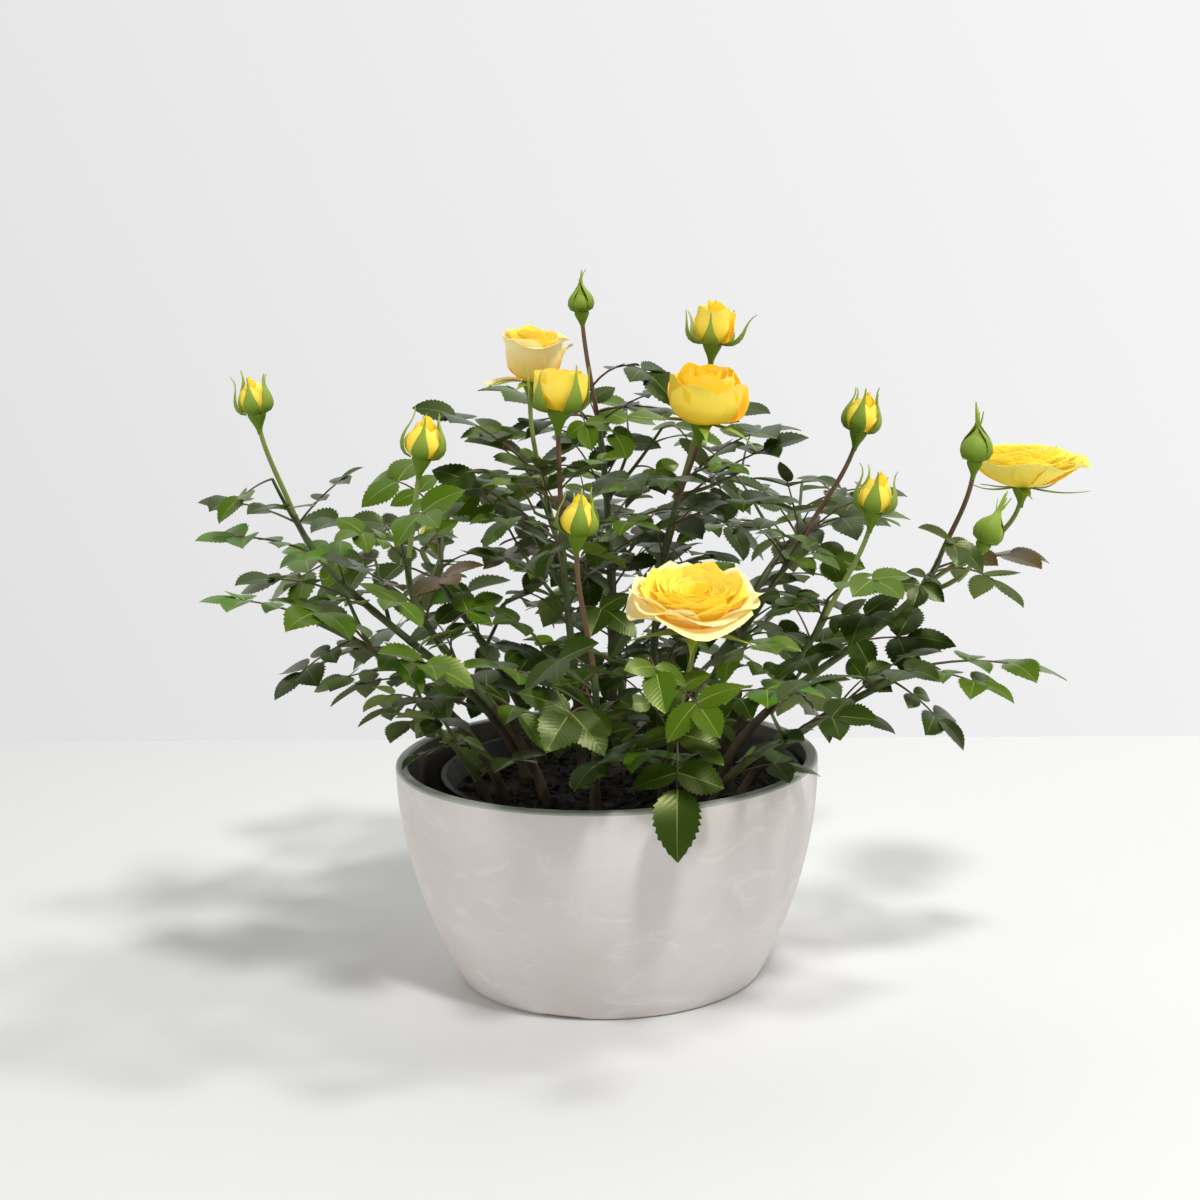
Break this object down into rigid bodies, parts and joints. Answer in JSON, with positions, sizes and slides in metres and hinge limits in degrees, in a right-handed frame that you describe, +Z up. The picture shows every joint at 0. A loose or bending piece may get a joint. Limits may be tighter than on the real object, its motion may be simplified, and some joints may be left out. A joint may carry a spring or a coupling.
{
  "type": "potted rose bush",
  "caption": "Small bushy rose with compound leaves, open roses and buds, growing in a black grow pot that stands inside a low round tapered bowl.",
  "frame": {"origin": "centre of the bowl's flat underside", "axes": "+Z up, -Z out of the bowl's underside, +X along the crown's longest reach, +Y towards the back of the plant"},
  "size_m": [0.4348, 0.3341, 0.3435],
  "materials": {
    "bowl": "matte off-white stone wash",
    "grow_pot": "matte black",
    "soil": "rough dark bark compost",
    "cane_bark": "satin green to red-brown bark",
    "foliage": "dark green satin leaves, yellow petals"
  },
  "bodies": {
    "root": {"bowl": "bowl", "grow_pot": "grow_pot", "soil": "soil", "cane_left_high": "cane_bark", "cane_left_low": "cane_bark", "cane_left_front": "cane_bark", "cane_low_left": "cane_bark", "cane_centre": "cane_bark", "cane_centre_back": "cane_bark", "cane_centre_right": "cane_bark", "cane_front_left": "cane_bark", "cane_front_right": "cane_bark", "cane_right_high": "cane_bark", "cane_right_middle": "cane_bark", "cane_right_far": "cane_bark", "cane_right_low": "cane_bark", "cane_low_right": "cane_bark", "cane_back_left": "cane_bark", "cane_back": "cane_bark", "cane_back_right": "cane_bark", "foliage_left_high": "foliage", "foliage_left_low": "foliage", "foliage_left_front": "foliage", "foliage_low_left": "foliage", "foliage_centre": "foliage", "foliage_centre_back": "foliage", "foliage_centre_right": "foliage", "foliage_front_left": "foliage", "foliage_front_right": "foliage", "foliage_right_high": "foliage", "foliage_right_middle": "foliage", "foliage_right_far": "foliage", "foliage_right_low": "foliage", "foliage_low_right": "foliage", "foliage_back_left": "foliage", "foliage_back": "foliage", "foliage_back_right": "foliage"}
  },
  "joints": []
}
